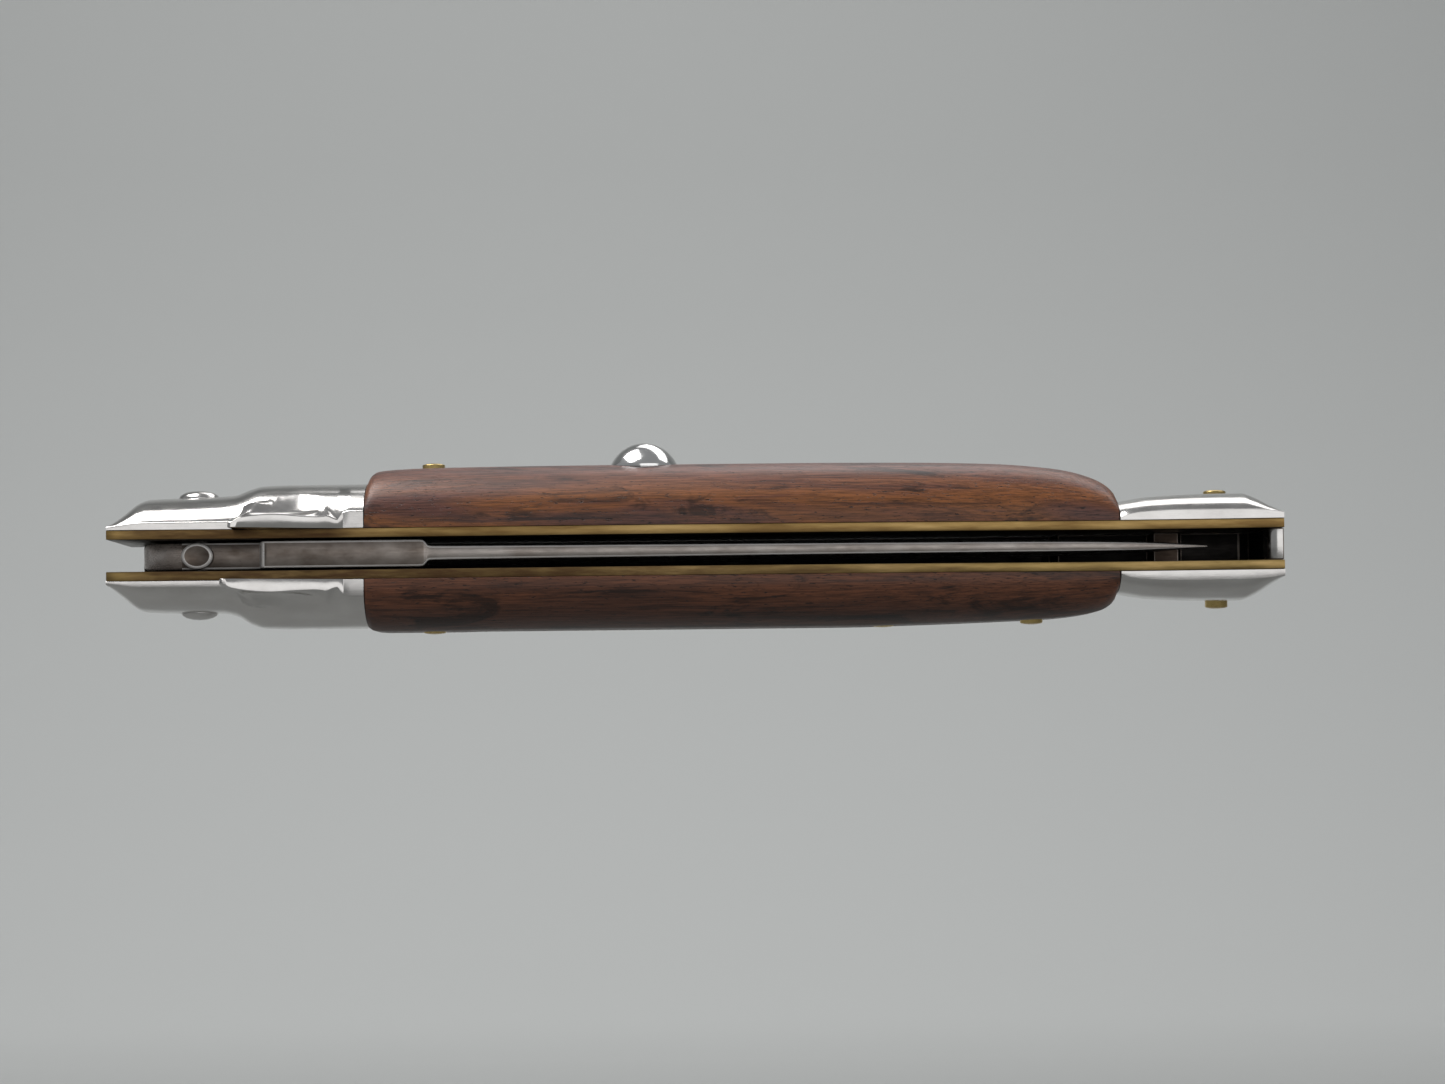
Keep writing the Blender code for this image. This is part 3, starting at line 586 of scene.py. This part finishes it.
class Shader:
    """A small helper that wires up one node material."""

    def __init__(self, name):
        self.material = bpy.data.materials.new(name)
        self.material.use_nodes = True
        self.tree = self.material.node_tree
        self.out = self.tree.nodes["Principled BSDF"]
        self.coords = self.add("ShaderNodeTexCoord").outputs["Object"]

    def add(self, kind, **values):
        node = self.tree.nodes.new(kind)
        for key, value in values.items():
            setattr(node, key, value)
        return node

    def link(self, source, socket):
        self.tree.links.new(source, socket)

    def constant(self, **values):
        """Set the shader's own sockets; names are written with underscores."""
        for key, value in values.items():
            self.out.inputs[key.replace("_", " ")].default_value = value

    def scaled(self, size):
        """Coordinates multiplied by size along each axis."""
        node = self.add("ShaderNodeMapping")
        node.inputs["Scale"].default_value = size
        self.link(self.coords, node.inputs["Vector"])
        return node.outputs["Vector"]

    def noise(self, size, detail, rough, distortion=0.0, vector=None):
        node = self.add("ShaderNodeTexNoise")
        node.inputs["Scale"].default_value = 1.0
        node.inputs["Detail"].default_value = detail
        node.inputs["Roughness"].default_value = rough
        node.inputs["Distortion"].default_value = distortion
        self.link(vector or self.scaled(size), node.inputs["Vector"])
        return node.outputs["Fac"]

    def ramp(self, source, stops):
        """Map 0..1 to colours or greys given as (place, value)."""
        node = self.add("ShaderNodeValToRGB")
        band = node.color_ramp.elements
        while len(band) < len(stops):
            band.new(0.5)
        for element, (place, value) in zip(band, stops):
            element.position = place
            colour = value if isinstance(value, tuple) else (value,) * 3
            element.color = (*colour, 1)
        self.link(source, node.inputs["Fac"])
        return node.outputs["Color"]

    def mix(self, factor, first, second, blend="MIX"):
        node = self.add("ShaderNodeMix", data_type="RGBA", blend_type=blend)
        for socket, value in ((node.inputs["Factor"], factor), (node.inputs[6], first),
                              (node.inputs[7], second)):
            if isinstance(value, bpy.types.NodeSocket):
                self.link(value, socket)
            elif isinstance(value, tuple):
                socket.default_value = (*value, 1)
            else:
                socket.default_value = value
        return node.outputs[2]

    def math(self, operation, first, second):
        node = self.add("ShaderNodeMath", operation=operation)
        for socket, value in zip(node.inputs, (first, second)):
            if isinstance(value, bpy.types.NodeSocket):
                self.link(value, socket)
            else:
                socket.default_value = value
        return node.outputs[0]

    def bump(self, source, strength, distance, normal=None):
        node = self.add("ShaderNodeBump")
        node.inputs["Strength"].default_value = strength
        node.inputs["Distance"].default_value = distance
        self.link(source, node.inputs["Height"])
        if normal:
            self.link(normal, node.inputs["Normal"])
        self.link(node.outputs["Normal"], self.out.inputs["Normal"])
        return node.outputs["Normal"]


def wood(name, dark, mid, warm, lit_band_heights, seed):
    """Rosewood: long wavy streaks, dark figure and short open pores, with painted light: a warm,
    brighter band towards the liner edge.

    lit_band_heights are the two heights between which the warm painted-light colour takes over.
    """
    s = Shader(name)
    wander = s.noise((26 + seed, 150, 150), 2, 0.5)
    shifted = s.add("ShaderNodeVectorMath", operation="MULTIPLY_ADD")
    s.link(wander, shifted.inputs[0])
    shifted.inputs[1].default_value = (0.0, 0.0016, 0.0030)
    s.link(s.coords, shifted.inputs[2])
    grain_map = s.add("ShaderNodeMapping")
    grain_map.inputs["Scale"].default_value = (30, 620, 760)
    grain_map.inputs["Location"].default_value = (seed, seed * 0.7, seed * 0.3)
    s.link(shifted.outputs[0], grain_map.inputs["Vector"])
    bands = s.noise(None, 6, 0.68, 0.5, grain_map.outputs["Vector"])
    colour = s.ramp(bands, [(0.34, dark), (0.45, mid), (0.55, mid), (0.72, dark)])
    warmer = s.ramp(bands, [(0.32, mid), (0.46, warm), (0.60, warm), (0.74, mid)])
    # Painted light: by height, in noisy patches, the colour turns warmer and brighter towards
    # the liner edge.
    split = s.add("ShaderNodeSeparateXYZ")
    s.link(s.coords, split.inputs[0])
    level = s.add("ShaderNodeMapRange", interpolation_type="SMOOTHSTEP")
    s.link(split.outputs["Z"], level.inputs["Value"])
    level.inputs["From Min"].default_value = lit_band_heights[0]
    level.inputs["From Max"].default_value = lit_band_heights[1]
    patch = s.noise((30, 170, 240), 3, 0.6, 0.6)
    lit_band = s.math("MULTIPLY", level.outputs["Result"], s.ramp(patch, [(0.36, 0.0), (0.54, 1.0)]))
    colour = s.mix(lit_band, colour, warmer)
    figure = s.noise((60 + seed, 230, 320), 5, 0.62, 1.4)
    shade = s.ramp(figure, [(0.55, 1.0), (0.63, 0.34)])
    colour = s.mix(1.0, colour, shade, "MULTIPLY")
    fibre = s.noise((210, 5400, 5400), 4, 0.75)
    streak = s.ramp(fibre, [(0.38, 0.38), (0.60, 1.2)])
    colour = s.mix(0.85, colour, streak, "MULTIPLY")
    pores = s.noise((1100, 6500, 6500), 2, 0.5)
    pore = s.ramp(pores, [(0.31, 0.0), (0.37, 1.0)])
    colour = s.mix(0.8, colour, pore, "MULTIPLY")
    s.link(colour, s.out.inputs["Base Color"])
    gloss = s.ramp(bands, [(0.3, 0.36), (0.7, 0.48)])
    s.link(gloss, s.out.inputs["Roughness"])
    s.constant(Coat_Weight=0.15, Coat_Roughness=0.34, Specular_IOR_Level=0.38)
    first = s.bump(fibre, 0.3, 0.00005)
    s.bump(pore, 0.5, 0.00007, first)
    return s.material


def metal(name, colour, dull, rough, stain, scratch, metallic=1.0):
    """Metal with fine scratches, uneven polish and a little staining."""
    s = Shader(name)
    cloud = s.noise((220, 420, 420), 4, 0.6)
    tint = s.ramp(cloud, [(0.35, 0.0), (0.70, 1.0)])
    mixed = s.mix(s.math("MULTIPLY", tint, stain), colour, dull)
    s.link(mixed, s.out.inputs["Base Color"])
    lines = s.noise((350, 9000, 9000), 3, 0.65)
    smear = s.noise((500, 700, 700), 3, 0.5)
    total = s.math("ADD", s.math("MULTIPLY", lines, 0.5), s.math("MULTIPLY", smear, 0.5))
    band = s.ramp(total, [(0.3, rough * 0.7), (0.7, min(rough * 1.5, 1.0))])
    s.link(band, s.out.inputs["Roughness"])
    s.constant(Metallic=metallic)
    s.bump(lines, scratch, 0.00002)
    return s.material


def tarnished_brass(name, low, middle, high, grime):
    """Brass, patchy on its worn edge and grimy along some of its length, with painted shade on
    its
    flat faces: they turn dark brown so the channel between the liners reads as shaded.

    grime lists (place, value) along the handle, where 0 is the pivot end and 1 the butt.
    """
    s = Shader(name)
    split = s.add("ShaderNodeSeparateXYZ")
    geometry = s.add("ShaderNodeNewGeometry")
    s.link(geometry.outputs["Normal"], split.inputs[0])
    # Painted shade: faces that look along Z, the flat faces facing into the channel, are picked
    # out here.
    flat = s.math("ABSOLUTE", split.outputs["Z"], 0.0)
    face = s.ramp(flat, [(0.75, 0.0), (0.95, 1.0)])
    cloud = s.noise((90, 700, 700), 4, 0.6)
    patina = s.ramp(cloud, [(0.36, low), (0.52, middle), (0.68, high)])
    along = s.add("ShaderNodeSeparateXYZ")
    s.link(s.coords, along.inputs[0])
    place = s.add("ShaderNodeMapRange")
    s.link(along.outputs["X"], place.inputs["Value"])
    place.inputs["From Min"].default_value = -HANDLE_END * MM
    place.inputs["From Max"].default_value = HANDLE_END * MM
    speckle = s.ramp(s.noise((260, 1500, 1500), 4, 0.65), [(0.35, 0.55), (0.62, 1.0)])
    dirt = s.math("MULTIPLY", s.ramp(place.outputs["Result"], grime), speckle)
    worn = s.mix(dirt, patina, (0.10, 0.050, 0.026))
    # Painted shade: the flat faces get a dark brown.
    colour = s.mix(face, worn, (0.05, 0.037, 0.024))
    s.link(colour, s.out.inputs["Base Color"])
    rough = s.ramp(dirt, [(0.1, 0.34), (0.7, 0.55)])
    s.link(rough, s.out.inputs["Roughness"])
    s.constant(Metallic=0.9)
    s.bump(s.noise((400, 9000, 9000), 2, 0.6), 0.2, 0.00002)
    return s.material


STEEL = metal("polished_steel", (0.70, 0.68, 0.66), (0.48, 0.45, 0.43), 0.17, 0.35, 0.10)
BLADE_STEEL = metal("blade_steel", (0.44, 0.40, 0.37), (0.22, 0.18, 0.155), 0.34, 0.8, 0.2)
# Painted highlight: a near-white, barely metallic material for the bright lines on the blade's
# spine corners, the ricasso's step and the lock stud's rim.
PAINTED_HIGHLIGHT = metal("painted_highlight_edge", (0.95, 0.92, 0.89), (0.80, 0.75, 0.71), 0.30, 0.4, 0.1,
                  metallic=0.2)
FLAT_STEEL = metal("flat_steel", (0.62, 0.61, 0.60), (0.50, 0.48, 0.46), 0.27, 0.5, 0.15)
TANG_STEEL = metal("tang_steel", (0.33, 0.29, 0.26), (0.13, 0.10, 0.08), 0.36, 0.9, 0.25)
# Painted light: a brighter, less metallic copy of the tang's steel for the lit nose of the tang.
LIT_NOSE_STEEL = metal("lit_nose_steel", (0.66, 0.60, 0.56), (0.30, 0.24, 0.20), 0.26, 0.9, 0.2,
                   metallic=0.7)
SPRING_STEEL = metal("spring_steel", (0.30, 0.26, 0.23), (0.12, 0.09, 0.07), 0.42, 0.6, 0.2)
# Painted shade: a near-black steel for faces deep in the channel, where shade falls.
PAINTED_SHADE_STEEL = metal("dark_steel", (0.022, 0.020, 0.019), (0.012, 0.010, 0.009), 0.50, 0.6, 0.2)
# Painted shade: a dim copy of the spring's steel for its shoulder, which is mostly in shade.
SHADED_SHOULDER_STEEL = metal("shaded_shoulder_steel", (0.13, 0.095, 0.075), (0.06, 0.042, 0.032), 0.50,
                       0.6, 0.2)
CHROME = metal("chrome", (0.86, 0.85, 0.84), (0.74, 0.73, 0.72), 0.13, 0.2, 0.03)
PIN_BRASS = metal("pin_brass", (0.66, 0.49, 0.20), (0.40, 0.28, 0.11), 0.26, 0.6, 0.1)
UPPER_BRASS = tarnished_brass("upper_liner_brass", (0.24, 0.145, 0.05), (0.40, 0.26, 0.095),
                              (0.55, 0.37, 0.15),
                              [(0.008, 0.1), (0.03, 0.75), (0.19, 0.85), (0.235, 0.05),
                               (0.55, 0.15), (0.8, 0.0)])
# Painted shade: the lower liner's patina colours are darker copies of the upper's; its grime
# runs further along the handle.
SHADED_LOWER_BRASS = tarnished_brass("shaded_lower_liner_brass", (0.17, 0.11, 0.042), (0.32, 0.22, 0.082),
                              (0.50, 0.34, 0.14),
                              [(0.012, 0.1), (0.04, 0.8), (0.20, 0.9), (0.45, 0.8),
                               (0.66, 0.35), (0.8, 0.0)])
RED_WOOD = wood("rosewood_red", (0.042, 0.018, 0.014), (0.150, 0.058, 0.042),
                (0.300, 0.105, 0.030), (0.0185, 0.0135), 3.0)
# Painted shade: the lower scale's rosewood is a darker copy of the upper's, for the side the
# overhead light leaves in shade.
SHADED_ROSEWOOD = wood("rosewood_dark", (0.028, 0.013, 0.009), (0.085, 0.034, 0.021),
                 (0.190, 0.066, 0.030), (0.0010, 0.0045), 9.0)


# ---------------------------------------------------------------- the knife

for suffix, layer in (("upper", 1), ("lower", -1)):
    liner(layer, f"liner_{suffix}", UPPER_BRASS if layer > 0 else SHADED_LOWER_BRASS)
    front_bolster(layer, f"front_bolster_{suffix}", STEEL)
    rear_bolster(layer, f"rear_bolster_{suffix}", STEEL)

upper_scale = wooden_scale(1, "scale_upper", UPPER_CROWN, RED_WOOD, 2.6, 1.0)
wooden_scale(-1, "scale_lower", LOWER_CROWN, SHADED_ROSEWOOD, 2.8, 1.06)

button_hole = round_cutter("button", BUTTON_HOLE_R, BUTTON_HOLE_FLOOR, 30)
pocket = bmesh.new()
bmesh.ops.create_cube(pocket, size=1.0)
bmesh.ops.scale(pocket, vec=POCKET_SIZE, verts=pocket.verts)
move(pocket, POCKET_CENTRE)
carve(upper_scale, [button_hole, pocket])

folded_blade = blade(BLADE_STEEL, PAINTED_HIGHLIGHT, LIT_NOSE_STEEL, TANG_STEEL, FLAT_STEEL)
carve(folded_blade, [round_cutter("sear_pin", PIN_HOLE_R, PIN_HOLE_FLOOR, PIN_HOLE_TOP)])
return_spring(SPRING_STEEL)
back_spring(SPRING_STEEL, PAINTED_SHADE_STEEL, STEEL, SHADED_SHOULDER_STEEL)
lock_stud(TANG_STEEL, PAINTED_HIGHLIGHT)
pivot_pin(STEEL)
button(CHROME)
for pin in ("front_scale_pin_upper", "front_scale_pin_lower", "mid_scale_pin_lower",
            "rear_scale_pin_lower", "rear_bolster_pin"):
    round_pin(pin, PIN_BRASS, 0.22)

# The kick spring and its rivet sit in the channel and take the near-black steel as painted
# shade.
for node, material in (("kick_spring", PAINTED_SHADE_STEEL), ("kick_spring_rivet", PAINTED_SHADE_STEEL),
                       ("back_spring_rivet", STEEL), ("sear_lever", SPRING_STEEL),
                       ("sear_pin", STEEL), ("sear_pivot_pin", STEEL),
                       ("sear_saddle", SPRING_STEEL),
                       ("bolster_rivet_upper", STEEL), ("bolster_rivet_lower", STEEL)):
    frame["nodes"][node].data.materials.clear()
    frame["nodes"][node].data.materials.append(material)


# ---------------------------------------------------------------- studio

def floor_material():
    s = Shader("pale_floor")
    split = s.add("ShaderNodeSeparateXYZ")
    s.link(s.coords, split.inputs[0])
    tone = s.ramp(split.outputs["Y"], [(0.20, (0.20, 0.205, 0.20)), (0.55, (0.60, 0.61, 0.60))])
    s.link(tone, s.out.inputs["Base Color"])
    s.constant(Roughness=0.7)
    return s.material


def studio():
    """A pale floor well below the knife that sweeps up into a backdrop."""
    radius, back, top, floor = 0.25, 0.75, 1.6, -0.09
    profile = [(-1.5, floor), (back - radius, floor)]
    profile += [(back - radius + radius * math.sin(a), floor + radius - radius * math.cos(a))
                for a in (math.radians(step * 10) for step in range(1, 10))]
    profile.append((back, top))
    bm = bmesh.new()
    left = [bm.verts.new((-2.0, y, z)) for y, z in profile]
    right = [bm.verts.new((2.0, y, z)) for y, z in profile]
    for i in range(len(profile) - 1):
        bm.faces.new((left[i], right[i], right[i + 1], left[i + 1]))
    mesh = bpy.data.meshes.new("sweep")
    bm.to_mesh(mesh)
    bm.free()
    mesh.shade_smooth()
    mesh.materials.append(floor_material())
    sweep = bpy.data.objects.new("sweep", mesh)
    bpy.context.scene.collection.objects.link(sweep)


def area_light(name, place, target, size, power):
    data = bpy.data.lights.new(name, "AREA")
    data.shape = "RECTANGLE"
    data.size, data.size_y = size
    data.energy = power
    lamp = bpy.data.objects.new(name, data)
    lamp.location = place
    lamp.rotation_euler = (Vector(target) - Vector(place)).to_track_quat("-Z", "Y").to_euler()
    bpy.context.scene.collection.objects.link(lamp)


def lights():
    aim = (0, 0, 0.01)
    area_light("key", (-0.26, -0.02, 0.56), aim, (0.45, 0.32), 3.4)
    area_light("top", (0.25, 0.30, 0.55), aim, (0.8, 0.30), 1.6)
    area_light("front", (0.30, -0.85, 0.10), aim, (1.1, 0.5), 1.5)
    world = bpy.data.worlds.new("studio")
    world.use_nodes = True
    world.node_tree.nodes["Background"].inputs["Color"].default_value = (0.80, 0.82, 0.84, 1)
    world.node_tree.nodes["Background"].inputs["Strength"].default_value = 0.30
    bpy.context.scene.world = world


def camera():
    """A long lens that looks into the slot from in front and slightly below."""
    lens, distance, roll = 96.5, 0.4292, math.radians(0.63)
    data = bpy.data.cameras.new("camera")
    data.lens = lens
    data.sensor_width = 36.0
    data.clip_start = 0.01
    view = bpy.data.objects.new("camera", data)
    aim = Vector((0.0027, 0.0, MID_Z * MM + 0.0012))
    rise = math.radians(2.7)
    view.location = aim - distance * Vector((0, math.cos(rise), math.sin(rise)))
    view.rotation_euler = (math.pi / 2 + rise, roll, 0.0)
    bpy.context.scene.collection.objects.link(view)
    bpy.context.scene.camera = view


studio()
lights()
camera()
bpy.context.scene.view_settings.view_transform = "Standard"
